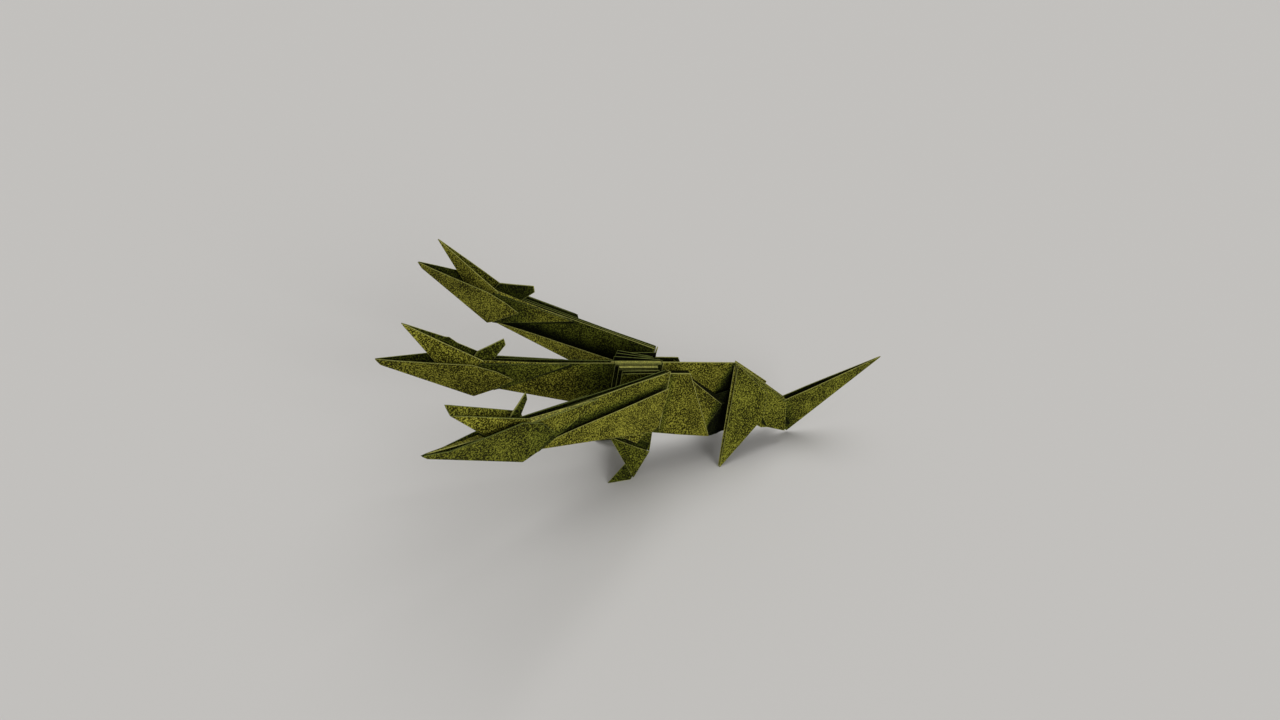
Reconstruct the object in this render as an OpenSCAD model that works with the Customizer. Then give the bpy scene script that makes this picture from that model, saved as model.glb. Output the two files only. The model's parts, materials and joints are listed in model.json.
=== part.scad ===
// Three-headed hydra folded from one square of paper, all sizes in mm, +Z up, heads toward +X.
// The animal stands on two front feet and two hind feet; its tail points back and up.

/* [Paper] */
// Thickness of a folded layer
paper = 0.3; // [0.25:0.05:0.4]
// Thickness of the many layers pressed together along the back
back_wall = 1.4; // [1.0:0.1:1.6]
// Sideways step from one neck layer to the next at its open top edge
layer_step = 0.45; // [0.35:0.05:0.55]

/* [Back] */
// Height of the back ridge where the necks start
back_h = 28.4; // [27:0.2:31]
// Rise of the back ridge toward the front, in degrees
back_pitch = 9.5; // [8:0.5:12]
// Length of the back ridge behind the necks
back_len = 19.6; // [18.6:0.2:21]
// Half width of the body at its outer walls
body_half = 4.8; // [4.4:0.1:5.6]
// Depth of the body walls below the ridge, at the rear
body_depth = 19.2; // [17.6:0.2:20.6]

/* [Necks] */
// Length of each neck from its root to the corner of the mouth
neck_len = 43.8; // [38:0.2:50]
// Turn of the side necks away from the middle one, in degrees
neck_splay = 32; // [28:1:38]
// Rise of the side necks, in degrees
neck_pitch = 11.8; // [9.8:0.2:15]
// Depth of a neck at its root
neck_root_d = 15.9; // [15:0.1:17.5]
// Depth of a neck behind the head
neck_head_d = 8.4; // [7.8:0.1:10]
// Length of the outer wrap behind the head: left, middle and right neck
wrap_len = [19.4, 20.4, 21.2]; // [16:0.2:26]
// How far the outer lower flap stands off a side neck
flap_out = 0.8; // [0.5:0.1:1.4]
// How far the inner lower flap stands off a side neck
flap_in = 3.2; // [2:0.1:4]

/* [Heads] */
// Length of the lower jaw ahead of the mouth corner
jaw_len = 22.8; // [20:0.2:26]
// Length of the upper jaw
snout_len = 20; // [17:0.5:22]
// Opening angle of the mouth, in degrees
gape = 27.5; // [22:0.5:34]
// Drop of the chin below the mouth corner
chin_drop = 10.1; // [9.4:0.1:11.5]
// Place of the chin ahead of the mouth corner: left, middle and right head
chin_ahead = [-1.6, 0.9, 2.4]; // [-2.4:0.1:3.4]
// Half width of the open trough of each jaw
jaw_half = 2.1; // [1.7:0.1:2.6]
// Length of the horn at the back of the head: left, middle and right head
horn_len = [4.6, 6.5, 9.7]; // [3:0.1:11]
// Rise of the horn, in degrees: left, middle and right head
horn_rise = [54, 32, 16]; // [5:1:60]
// Place of the horn ahead of the mouth corner: left, middle and right head
horn_ahead = [3, 0.8, 0.2]; // [-0.5:0.1:3.5]
// Slope of the horn's rear edge, forward for each mm down: left, middle and right head
horn_lean = [0.4, 0.6, 0.9]; // [0.2:0.1:1.2]

/* [Legs] */
// Distance of the front toes ahead of the neck roots
toe_x = 16.3; // [15:0.1:18]
// Length of a front foot along the floor
foot_len = 5.8; // [4.8:0.1:7]
// Half distance between the front feet
front_track = 8.6; // [7.8:0.1:10]
// Distance of the hind feet behind the neck roots
hind_x = 13; // [11.5:0.1:14.5]
// Half distance between the hind feet
hind_track = 9.6; // [8.6:0.1:11]

/* [Tail] */
// Distance of the tail root behind the neck roots
tail_root_x = 34.6; // [33.6:0.2:37]
// Distance of the tail tip behind the neck roots
tail_tip_x = 60.7; // [54:0.2:66]
// Height of the tail tip
tail_tip_h = 20.7; // [16:0.2:26]

/* [Colour] */
// Red, green and blue of the paper
paper_rgb = [0.23, 0.22, 0.13]; // [0:0.01:1]

/* [Hidden] */
// Thickness where two layers lie pressed together
double = paper * 1.4;
// Thickness of a neck along its closed bottom and its open top
neck_low_t = paper * 1.5;
neck_top_t = layer_step * 2.2 + paper;
// The front end is the middle lower jaw and the rear end the tail tip
front_x = (neck_len + jaw_len) * cos(back_pitch);
centre_x = (front_x - tail_tip_x) / 2;
// The nape is this far behind the chin
nape_back = 3.2;
// Depth a neck loses for each mm toward the head
neck_taper = (neck_root_d - neck_head_d) / (neck_len - 2.3);
// The roots of the side necks stand a little above the ridge and outside the walls
root_lift = 0.9;
root_y = body_half + 0.5;
// The outer walls end a little below the ridge
wall_drop = 0.45;
// Height of the tail root and depth of its underside
tail_root_h = 11.4;
tail_low_h = 0.4;

// Unit vector
function unit(v) = v / norm(v);
// Point of the body from its place along, beside and above the ridge
function on_body(u, w, v) = [
    u * cos(back_pitch) - v * sin(back_pitch),
    w,
    back_h + u * sin(back_pitch) + v * cos(back_pitch)
];
// Point a share of the way from one point to another
function along(a, b, share) = a + (b - a) * share;
// Point in the plane through three points, from its shares along the two sides
function in_plane(o, a, b, i, j) = o + (a - o) * i + (b - o) * j;
// Underside of a neck at a distance from its root
function neck_under(u) = neck_taper * u - neck_root_d;
// Thickness at one corner, from one value or from a list
function corner_t(t, i) = is_list(t) ? t[i] : t;

// Flat piece of paper through a ring of corner points, moved sideways by a lift
module sheet(p, t = paper, lift = 0) {
    n = unit(cross(p[1] - p[0], p[2] - p[0]));
    m = len(p);
    hull()
        polyhedron(
            concat(
                [for (i = [0:m - 1]) p[i] + n * (lift + corner_t(t, i) / 2)],
                [for (i = [0:m - 1]) p[i] + n * (lift - corner_t(t, i) / 2)]
            ),
            concat(
                [[for (i = [0:m - 1]) i]],
                [[for (i = [m - 1:-1:0]) m + i]],
                [for (i = [0:m - 1]) [i, m + i, m + (i + 1) % m, (i + 1) % m]]
            )
        );
}

// Left and right copies
module both_sides() {
    children();
    mirror([0, 1, 0])
        children();
}

// Place a neck by its root, turn and rise
module neck_at(root, turn, rise) {
    translate(root)
        rotate([0, 0, turn])
            rotate([0, -rise, 0])
                children();
}

// Lower jaw: an open trough with its fold at the bottom
module lower_jaw(chin_u) {
    brow_share = 0.4;
    brow_h = 0.7;
    tip_h = 0.5;
    hinge_back = 7;
    hinge_drop = 4.3;
    fold_t = paper * 1.8;
    nape_u = chin_u - nape_back;
    tip = [neck_len + jaw_len, 0.1, tip_h];
    brow = [neck_len + brow_share * jaw_len, jaw_half, brow_h];
    hinge = [min(neck_len, chin_u) - hinge_back, layer_step * 3, -hinge_drop];
    nape = [nape_u, 0.2, neck_under(nape_u) + 0.4];
    chin = [chin_u, 0.05, -chin_drop];
    both_sides() {
        sheet([tip, brow, chin]);
        sheet([along(brow, tip, 0.03), hinge, nape, along(chin, tip, 0.02)]);
    }
    // Bottom fold
    sheet([
        [tip[0] + 0.2, 0, tip[2] - 0.1],
        [chin[0] - 0.1, 0, chin[2] - 0.2],
        [nape[0] - 0.4, 0, nape[2] - 0.7],
        [nape[0] - 0.4, 0, nape[2] + 0.6]
    ], fold_t);
}

// Upper jaw: a smaller trough that stands in the lower one
module upper_jaw() {
    keel_ahead = 7.7;
    keel_drop = 3.4;
    tuck_back = 3;
    tuck_drop = 4.5;
    corner_share = 0.75;
    fold_t = paper * 1.8;
    tip = [neck_len + snout_len * cos(gape), 0.1, snout_len * sin(gape)];
    corner = [neck_len - 0.3, jaw_half * corner_share, 0.2];
    keel = [neck_len + keel_ahead, 0.05, -keel_drop];
    tuck = [neck_len - tuck_back, layer_step, -tuck_drop];
    both_sides() {
        sheet([tip, corner, keel]);
        sheet([along(corner, tip, 0.02), tuck, along(keel, tip, 0.03)]);
    }
    // Bottom fold
    sheet([
        [tip[0] + 0.1, 0, tip[2] - 0.1],
        [keel[0] + 0.1, 0, keel[2] - 0.3],
        [keel[0] - 1, 0, keel[2] + 0.5],
        [tip[0] - 0.9, 0, tip[2] - 0.3]
    ], fold_t);
}

// Horn: a flap with a short square end that points up and back from between the neck layers
module horn(size, rise, ahead, lean) {
    foot_h = 2.5;
    end_cut = 1.5;
    end_lean = 0.4;
    depth = 4.6;
    hold_back = 6;
    hold_drop = 6;
    foot = [neck_len + ahead, 0, foot_h];
    tip = foot + size * [-cos(rise), 0, sin(rise)];
    tip_low = tip - [end_lean, 0, end_cut];
    base = tip_low + depth * [lean, 0, -1];
    front = foot + [1.6, 0, -3];
    sheet([foot, tip, tip_low, base, front], double);
    // Part held between the layers
    sheet([
        foot + [0.4, 0, -1.2],
        front + [-0.5, 0, -0.3],
        [neck_len + 0.3, 0, -hold_drop],
        [neck_len - hold_back, 0, -hold_drop],
        base + [0.2, 0, 0.9]
    ], paper);
}

// Lower flap of a neck: folded up from the bottom, with a loose top edge
module neck_flap(side, stand_off, nape_u) {
    top_drop = 3.6;
    front_drop = 6.2;
    front_back = 4;
    front_share = 0.32;
    open = side * (neck_top_t / 2 + stand_off);
    sheet([
        [0.3, 0, 0.6 - neck_root_d],
        [0.8, open, -top_drop - 0.12 * stand_off],
        [nape_u - front_back, open * front_share, -front_drop],
        [nape_u - 2.4, 0, neck_under(nape_u) + 0.5]
    ]);
}

// Neck: nested layers closed at the bottom, an outer wrap and, where it stands off, a flap on a side
module neck(nape_u, wrap, left_open, right_open) {
    wrap_t = layer_step;
    gap_depth = 5.2;
    gap_over = 0.6;
    nape = [nape_u, 0, neck_under(nape_u)];
    wrap_end = [neck_len - wrap, 0, -0.1];
    difference() {
        union() {
            sheet(
                [[0, 0, -neck_root_d], [0, 0, 0], [neck_len, 0, 0], nape],
                [neck_low_t, neck_top_t, neck_top_t, neck_low_t]
            );
            sheet(
                [nape + [-1, 0, 0.6], wrap_end, [neck_len + 0.5, 0, -0.1]],
                [neck_low_t + wrap_t, neck_top_t + wrap_t, neck_top_t + wrap_t]
            );
        }
        // Gap between the left and right layers, widest behind the head
        sheet(
            [
                wrap_end + [-3, 0, gap_over],
                [neck_len + 1, 0, gap_over],
                [neck_len + 1, 0, -gap_depth]
            ],
            [layer_step * 0.4, layer_step * 2, layer_step * 0.5]
        );
    }
    if (left_open > 0) neck_flap(1, left_open, nape_u);
    if (right_open > 0) neck_flap(-1, right_open, nape_u);
}

// One neck with its head, 0 on the left, 1 in the middle, 2 on the right
module neck_and_head(i, left_open, right_open) {
    chin_u = neck_len + chin_ahead[i];
    neck(chin_u - nape_back, wrap_len[i], left_open, right_open);
    lower_jaw(chin_u);
    upper_jaw();
    horn(horn_len[i], horn_rise[i], horn_ahead[i], horn_lean[i]);
}

// Accordion pleats between the back and the outer wall
module pleats() {
    // Fold lines in plan: distance ahead of the neck roots, distance from the middle in pleat widths
    zigzag = [[-1, 0.2], [12.5, 1.4], [2.6, 2.4], [11.3, 2.9], [2.2, 3.8], [10.9, 4.4], [0.3, 6]];
    count = len(zigzag) - 1;
    pitch = body_half / count;
    // Each pleat ends a little lower than the one before it, and starts a little higher
    top_step = 0.12;
    low_step = 0.31;
    for (i = [0:count - 1]) {
        a = zigzag[i];
        b = zigzag[i + 1];
        top = -top_step * i;
        low = low_step * i - neck_root_d;
        sheet([
            on_body(a[0], a[1] * pitch, top),
            on_body(b[0], b[1] * pitch, top),
            on_body(b[0], b[1] * pitch, low),
            on_body(a[0], a[1] * pitch, low)
        ]);
    }
}

// Back: the thick middle wall of the body
module back() {
    fore = 13;
    low_rear = 14;
    rear_rise = 2.2;
    low_rise = 0.6;
    sheet([
        on_body(fore, 0, 0.1),
        on_body(-back_len, 0, 0.1),
        on_body(-back_len, 0, rear_rise - body_depth),
        on_body(-low_rear, 0, low_rise - body_depth),
        on_body(fore, 0, neck_under(fore) - 0.2)
    ], back_wall);
}

// Outer wall of the body with the corner folded in behind it
module outer_wall() {
    front = 0.9;
    front_rise = 2;
    top_rear = 5.6;
    low_rear = 14.6;
    corner_rear = 16.6;
    corner_in = 1.2;
    corner_drop = 9.8;
    pocket_rear = 17.4;
    pocket_in = 0.7;
    inner_w = 2;
    inner_drop = 11;
    corner = on_body(-corner_rear, body_half - corner_in, -corner_drop);
    pocket = on_body(-pocket_rear, body_half - pocket_in, 0.2 - body_depth);
    inner_top = on_body(-back_len, inner_w, -inner_drop);
    // Wall
    sheet([
        on_body(front, body_half, -wall_drop),
        on_body(-top_rear, body_half, -wall_drop),
        on_body(-low_rear, body_half, -body_depth),
        on_body(front + 0.3, body_half, front_rise - body_depth)
    ], double);
    // Folded-in corner
    sheet([
        on_body(0.4 - top_rear, body_half - 0.25, -wall_drop - 0.35),
        corner,
        pocket,
        on_body(1.2 - low_rear, body_half - 0.3, 0.5 - body_depth)
    ], double);
    // Upper and lower layers of the pocket behind the corner
    sheet([
        on_body(0.1 - top_rear, body_half - 0.2, -wall_drop - 0.95),
        corner + [0.3, 0.25, 0.5],
        inner_top,
        on_body(-8, 0.2, -6)
    ]);
    sheet([
        corner + [0.6, 0.3, 0],
        inner_top + [0, 0, 0.6],
        on_body(-back_len - 0.6, inner_w + 1.2, 0.8 - body_depth),
        pocket + [0.5, 0.3, 0.4]
    ]);
}

// Front leg: a shoulder under the neck, a pocket-shaped leg and a folded foot
module front_leg() {
    side = body_half - 0.1;
    shoulder_len = 11.3;
    shoulder_drop = 9;
    hip_drop = 17.8;
    leg_front = 11.6;
    leg_rear = 1.2;
    leg_drop = 18.4;
    knee_drop = 22;
    heel_gap = 0.9;
    shin_share = 0.34;
    leg_t = double * 2.4;
    top_front = on_body(leg_front, body_half + 0.2, -leg_drop);
    top_rear = on_body(leg_rear, body_half + 1.6, -knee_drop);
    ankle = [toe_x - foot_len - heel_gap, front_track, -0.7];
    shin = in_plane(ankle, top_front, top_rear, shin_share, 0.02);
    toe = [toe_x, front_track + 0.1, -0.3];
    // Shoulder
    sheet([
        on_body(-0.8, side, -shoulder_drop),
        on_body(shoulder_len - 0.8, side, -shoulder_drop - 3),
        on_body(leg_front + 0.4, side, -hip_drop - 0.8),
        on_body(0.6, side, -hip_drop)
    ]);
    // Thigh
    sheet([
        on_body(leg_front + 0.2, side, 0.2 - hip_drop),
        on_body(leg_rear - 0.5, side, 1 - hip_drop),
        top_rear + [0, -0.9, 0.4]
    ]);
    // Small flap on the thigh
    sheet([
        on_body(leg_front - 2.1, side, 1.4 - hip_drop),
        on_body(leg_rear + 1.2, side, 1.8 - hip_drop),
        on_body(leg_rear + 3.5, body_half + 1.1, -hip_drop - 2.4)
    ]);
    // Leg, open along its top like a pocket
    difference() {
        sheet([top_front, top_rear, ankle], [leg_t, leg_t, double * 1.6]);
        sheet([
            in_plane(ankle, top_front, top_rear, 1.1, 0),
            in_plane(ankle, top_front, top_rear, -0.05, 1.15),
            in_plane(ankle, top_front, top_rear, 0.05, 0.75),
            in_plane(ankle, top_front, top_rear, 0.74, 0.05)
        ], [paper, paper, paper / 2, paper / 2]);
    }
    // Foot
    sheet([shin, toe, [ankle[0] + 0.4, front_track + 0.45, -0.5]], double);
    sheet([
        shin + [0.1, 0, 0.2],
        toe + [-0.5, 0.1, 0],
        [ankle[0] + 0.3, front_track - 0.8, -0.5]
    ], double);
}

// Rump and hind leg: one slope of the tent behind the back, its front corner drawn down to the floor
module rump_and_leg() {
    top = on_body(-back_len, 0.4, 0);
    foot = [-hind_x, hind_track, -0.9];
    root = [0.2 - tail_root_x, 0.7, tail_root_h];
    leg_lift = double * 0.6;
    // Places on the slope are shares of the way from its top to the foot and to the tail root
    crotch = [0.36, 0.73];
    tail_low = [0.285, 1.06];
    leg_rear = [0.41, 0.51];
    leg_step = [0.31, 0.61];
    leg_top = [0.06, 0.58];
    // Rump
    sheet([
        in_plane(top, foot, root, 0, 0.05),
        in_plane(top, foot, root, 0.46, 0.07),
        in_plane(top, foot, root, crotch[0], crotch[1]),
        in_plane(top, foot, root, tail_low[0], tail_low[1]),
        root
    ], double);
    // Leg, with a slit along its front edge
    difference() {
        sheet([
            in_plane(top, foot, root, 0.02, 0.01),
            foot,
            in_plane(top, foot, root, leg_rear[0], leg_rear[1]),
            in_plane(top, foot, root, leg_step[0], leg_step[1]),
            in_plane(top, foot, root, leg_top[0], leg_top[1])
        ], double * 2, leg_lift);
        sheet([
            in_plane(top, foot, root, 0.04, -0.06),
            in_plane(top, foot, root, 0.84, -0.06),
            in_plane(top, foot, root, 0.7, 0.08),
            in_plane(top, foot, root, 0.12, 0.08)
        ], paper, leg_lift);
    }
}

// Ridge between the two slopes of the rump
module rump_ridge() {
    front = 1 - back_len;
    depth = 2.3;
    rear_t = paper * 5.5;
    front_t = paper * 3;
    sheet([
        on_body(front, 0, -0.3),
        [-tail_root_x, 0, tail_root_h - 0.1],
        [1.6 - tail_root_x, 0, tail_root_h - 1.4],
        on_body(front, 0, -0.3 - depth)
    ], [front_t, rear_t, rear_t, front_t]);
}

// Tail: an open trough with its fold at the bottom
module tail() {
    low_back = 1.4;
    top_half = 0.9;
    fold_t = double * 1.8;
    tip = [-tail_tip_x, 0.1, tail_tip_h];
    low = [-tail_root_x - low_back, 0.05, tail_low_h];
    top = [0.8 - tail_root_x, top_half, tail_root_h + 0.2];
    inside = in_plane(low, tip, top, -0.06, 0.6);
    both_sides()
        sheet([tip, low, inside, top], double);
    // Bottom fold
    sheet([
        [tip[0] - 0.1, 0, tip[2] - 0.1],
        [tip[0] + 0.7, 0, tip[2] + 0.1],
        [low[0] + 0.9, 0, low[2] + 0.9],
        [low[0] - 0.1, 0, low[2] - 0.3]
    ], fold_t);
}

// The whole sheet, cut flat where it stands on the floor
module folded_sheet() {
    span = 4 * tail_tip_x;
    color(paper_rgb)
        translate([-centre_x, 0, 0])
            difference() {
                union() {
                    neck_at([0, root_y, back_h + root_lift], neck_splay, neck_pitch)
                        neck_and_head(0, flap_out, flap_in);
                    neck_at([0, 0, back_h], 0, back_pitch)
                        neck_and_head(1, 0, 0);
                    neck_at([0, -root_y, back_h + root_lift], -neck_splay, neck_pitch)
                        neck_and_head(2, flap_in, flap_out);
                    both_sides() {
                        pleats();
                        outer_wall();
                        front_leg();
                        rump_and_leg();
                    }
                    back();
                    rump_ridge();
                    tail();
                }
                translate([-span / 2, -span / 2, -span])
                    cube(span);
            }
}

folded_sheet();
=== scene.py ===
"""Origami hydra: one square of green paper folded into three necks, a pleated body, legs and a tail."""

import json
import logging
import math
from dataclasses import dataclass, field, replace
from enum import Enum
from typing import Any, Iterable, Sequence

import bpy
import numpy as np
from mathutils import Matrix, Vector, noise
from mathutils.geometry import delaunay_2d_cdt

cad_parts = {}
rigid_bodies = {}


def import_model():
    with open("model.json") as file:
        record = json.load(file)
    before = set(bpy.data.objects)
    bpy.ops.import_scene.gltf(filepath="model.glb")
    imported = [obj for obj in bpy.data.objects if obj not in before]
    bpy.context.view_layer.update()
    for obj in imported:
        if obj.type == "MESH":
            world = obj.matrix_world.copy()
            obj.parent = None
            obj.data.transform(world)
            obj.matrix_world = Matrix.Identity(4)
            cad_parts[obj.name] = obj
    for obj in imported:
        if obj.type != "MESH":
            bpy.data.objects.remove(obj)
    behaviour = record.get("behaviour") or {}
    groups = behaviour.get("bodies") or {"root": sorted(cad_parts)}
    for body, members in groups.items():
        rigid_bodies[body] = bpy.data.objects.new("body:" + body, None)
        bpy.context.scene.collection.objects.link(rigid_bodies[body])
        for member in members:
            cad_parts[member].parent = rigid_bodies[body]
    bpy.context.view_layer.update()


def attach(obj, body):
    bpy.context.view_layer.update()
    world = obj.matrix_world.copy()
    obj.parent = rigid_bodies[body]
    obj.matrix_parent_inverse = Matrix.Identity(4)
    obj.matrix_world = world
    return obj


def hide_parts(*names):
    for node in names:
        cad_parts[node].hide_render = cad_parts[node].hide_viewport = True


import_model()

LOG = logging.getLogger("hydra")
MM = 0.001
TINY = 1e-12
NODE = "folded_sheet"
BODY = "root"


def point(x: float, y: float, z: float) -> np.ndarray:
    """A point or a direction in mm."""
    return np.array((x, y, z), float)


def along(a: np.ndarray, b: np.ndarray, share: float) -> np.ndarray:
    """The point a share of the way from a to b."""
    return a + (b - a) * share


def in_plane(o: np.ndarray, a: np.ndarray, b: np.ndarray, i: float, j: float) -> np.ndarray:
    """The point of the plane o, a, b at the share i of o to a and the share j of o to b."""
    return o + (a - o) * i + (b - o) * j


def mirrored(p: np.ndarray) -> np.ndarray:
    """The same point on the animal's other side."""
    return p * point(1, -1, 1)


class Layers(Enum):
    """Thickness of a facet in mm, by how many layers of the sheet lie in it."""

    SINGLE = 0.22
    DOUBLE = 0.34


@dataclass(frozen=True)
class FoldPlan:
    """Sizes that several parts of the folded sheet share, in mm and degrees."""

    back_h: float = 28.4
    back_pitch: float = 9.5
    back_len: float = 19.6
    body_half: float = 4.8
    body_depth: float = 19.2
    neck_len: float = 43.8
    neck_root_d: float = 15.9
    neck_head_d: float = 8.3
    jaw_len: float = 22.8
    tail_root_x: float = 34.6
    tail_root_h: float = 11.4
    tail_tip_x: float = 60.7

    @property
    def centre_x(self) -> float:
        """Middle of the figure's length, from the neck roots."""
        pitch = math.radians(self.back_pitch)
        return ((self.neck_len + self.jaw_len) * math.cos(pitch) - self.tail_tip_x) / 2

    def on_body(self, u: float, w: float, v: float) -> np.ndarray:
        """The point u ahead of the neck roots along the ridge, w to the left and v above it."""
        c, s = math.cos(math.radians(self.back_pitch)), math.sin(math.radians(self.back_pitch))
        return point(u * c - v * s, w, self.back_h + u * s + v * c)

    def neck_under(self, u: float) -> float:
        """Height of a neck's underside at u, below its top edge."""
        taper = (self.neck_root_d - self.neck_head_d) / self.neck_len
        return taper * u - self.neck_root_d


PLAN = FoldPlan()


@dataclass(frozen=True)
class Fade:
    """Painted shade and painted light across a facet: a soft change of tone that darkens it where shadow
    falls and lightens it where light falls.

    Args:
        start: the point where the change begins, in mm.
        end: the point where it ends.
        at_start: the tone at and before the start.
        at_end: the tone at and past the end.
    """

    start: np.ndarray
    end: np.ndarray
    at_start: float
    at_end: float = 1.0

    def tones(self, points: np.ndarray) -> np.ndarray:
        """The tone at each point.

        Args:
            points: the points, in mm.

        Returns:
            A tone for each point.
        """
        span = self.end - self.start
        t = np.clip((points - self.start) @ span / (span @ span), 0, 1)
        return self.at_start + (self.at_end - self.at_start) * t * t * (3 - 2 * t)

    def mirror(self) -> "Fade":
        """The same painted shade and light on the other side."""
        return Fade(mirrored(self.start), mirrored(self.end), self.at_start, self.at_end)


@dataclass(frozen=True)
class Panel:
    """One facet of the folded sheet.

    Args:
        corners: ring of corner points, in mm.
        layers: how many layers lie in it.
        bow: how far its middle stands off the plane of its corners, in mm.
        free: the edges that are cut or loose, by the index of their first corner.
        lift: sideways move of the whole facet along its normal, in mm.
        inside: the direction of the side that gets the darker painted shade of the inner sides.
        reverse: the tone of that side, painted shade.
        tone: painted light and shade of the other side, 1 for plain paper, below 1 where it lies in shadow
            and above 1 where it is lit.
        painted_shades: painted shade and light that change that tone across the facet.
        rim: the tone of the edges, painted light and shade.
        worn: how much of the facet's flat sides takes the pale edge colour, painted highlight and rubbing
            along folds.
    """

    corners: Sequence[np.ndarray]
    layers: Layers = Layers.SINGLE
    bow: Sequence[float] = (0.0, 0.0, 0.0)
    free: Sequence[int] = ()
    lift: float = 0.0
    # Painted light and shade: the fields from here on set the tones of each side and edge of the facet,
    # darker where shadow falls and lighter where light falls; the last one, the pale edge mix, is partly
    # rubbing.
    inside: Sequence[float] = (0.0, 0.0, 0.0)
    reverse: float = 0.15
    tone: float = 1.0
    painted_shades: Sequence[Fade] = ()
    rim: float = 1.0
    worn: float = 0.0

    def mirror(self) -> "Panel":
        """The same facet on the other side, turned so that its normal is mirrored too.

        Returns:
            The mirrored facet.
        """
        count = len(self.corners)
        ring = [mirrored(p) for p in reversed(self.corners)]
        free = [(count - 2 - i) % count for i in self.free]
        bow, inside = tuple(mirrored(point(*self.bow))), tuple(mirrored(point(*self.inside)))
        painted_shades = [f.mirror() for f in self.painted_shades]
        turned = {"corners": ring, "bow": bow, "free": free, "inside": inside, "painted_shades": painted_shades}
        return replace(self, **turned)


@dataclass
class PaperSheet:
    """Collects the facets and turns them into one mesh of thin paper with rounded folds; lengths in mm."""

    spacing: float = 1.0
    ripple: float = 0.05
    ripple_len: float = 7.0
    bow_reach: float = 0.3
    rim_steps: int = 4
    weld: float = 1e-5
    points: list[np.ndarray] = field(default_factory=list)
    faces: list[tuple[int, ...]] = field(default_factory=list)
    worn: list[float] = field(default_factory=list)
    tones: list[np.ndarray] = field(default_factory=list)
    count: int = 0

    def add(self, panels: Iterable[Panel]) -> int:
        """Adds facets.

        Args:
            panels: the facets.

        Returns:
            How many were added.
        """
        added = 0
        for panel in panels:
            self._add_one(panel)
            added += 1
        return added

    def add_both(self, panels: Iterable[Panel]) -> int:
        """Adds facets and their mirror images.

        Args:
            panels: the facets of the left side.

        Returns:
            How many were added.
        """
        left = list(panels)
        return self.add(left) + self.add(panel.mirror() for panel in left)

    def _flat_axes(self, ring: np.ndarray) -> tuple[np.ndarray, np.ndarray, np.ndarray]:
        """Two axes in the mean plane of a ring of points, and its normal.

        Args:
            ring: the points, in 3-D and in order.

        Returns:
            The axes and the normal, of length 1.
        """
        normal = np.cross(ring, np.roll(ring, -1, 0)).sum(0)
        normal = normal / np.linalg.norm(normal)
        right = ring[1] - ring[0]
        right = right - normal * (right @ normal)
        right = right / np.linalg.norm(right)
        return right, np.cross(normal, right), normal

    def _outline(self, ring: np.ndarray) -> tuple[np.ndarray, np.ndarray]:
        """Points along the edges of a ring.

        Args:
            ring: the corners, in 3-D.

        Returns:
            The points, and for each one its weights on the corners.
        """
        count = len(ring)
        weights = []
        for i in range(count):
            j = (i + 1) % count
            steps = max(1, round(float(np.linalg.norm(ring[j] - ring[i])) / self.spacing))
            for k in range(steps):
                row = np.zeros(count)
                row[i], row[j] = 1 - k / steps, k / steps
                weights.append(row)
        table = np.array(weights)
        return table @ ring, table

    def _inside(self, flat: np.ndarray) -> np.ndarray:
        """Points of an even triangular grid inside a flat ring, clear of its edges.

        Args:
            flat: the ring's corners in its plane.

        Returns:
            The points in that plane.
        """
        low, high = flat.min(0), flat.max(0)
        row_gap = self.spacing * math.sqrt(3) / 2
        rows = np.arange(low[1] + row_gap / 2, high[1], row_gap)
        grid = [
            (x, y)
            for k, y in enumerate(rows)
            for x in np.arange(low[0] + self.spacing * (0.25 + 0.5 * (k % 2)), high[0], self.spacing)
        ]
        if not grid:
            return np.zeros((0, 2))
        points = np.array(grid)
        a, b = flat, np.roll(flat, -1, 0)
        # A point is inside when a line from it to one side crosses the ring an odd number of times.
        crossing = (a[:, 1] > points[:, None, 1]) != (b[:, 1] > points[:, None, 1])
        slope = np.where(b[:, 1] == a[:, 1], 1.0, b[:, 1] - a[:, 1])
        at = (b[:, 0] - a[:, 0]) * (points[:, None, 1] - a[:, 1]) / slope + a[:, 0]
        inside = (crossing & (points[:, None, 0] < at)).sum(1) % 2 == 1
        clear = self._edge_distance(points, flat).min(1) > 0.5 * self.spacing
        return points[inside & clear]

    @staticmethod
    def _edge_distance(points: np.ndarray, flat: np.ndarray) -> np.ndarray:
        """Distance of each point from each edge of a flat ring.

        Args:
            points: the points, in the ring's plane.
            flat: the ring's corners in that plane.

        Returns:
            A row for each point, with a distance for each edge.
        """
        a, b = flat, np.roll(flat, -1, 0)
        d = b - a
        rel = points[:, None, :] - a
        t = np.clip((rel * d).sum(2) / np.maximum((d * d).sum(1), TINY), 0, 1)
        return np.linalg.norm(rel - t[:, :, None] * d, axis=2)

    @staticmethod
    def _mean_value_weights(points: np.ndarray, flat: np.ndarray) -> np.ndarray:
        """Weights of the corners of a flat ring at inner points, smooth and straight along the edges.

        Args:
            points: the points, in the ring's plane.
            flat: the ring's corners in that plane.

        Returns:
            A row for each point, with a weight for each corner.
        """
        rel = flat - points[:, None, :]
        r = np.linalg.norm(rel, axis=2)
        nxt, r_nxt = np.roll(rel, -1, 1), np.roll(r, -1, 1)
        cross = rel[:, :, 0] * nxt[:, :, 1] - rel[:, :, 1] * nxt[:, :, 0]
        dot = (rel * nxt).sum(2)
        half = cross / np.maximum(r * r_nxt + dot, TINY)
        weights = (half + np.roll(half, 1, 1)) / np.maximum(r, TINY)
        return weights / weights.sum(1, keepdims=True)

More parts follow.
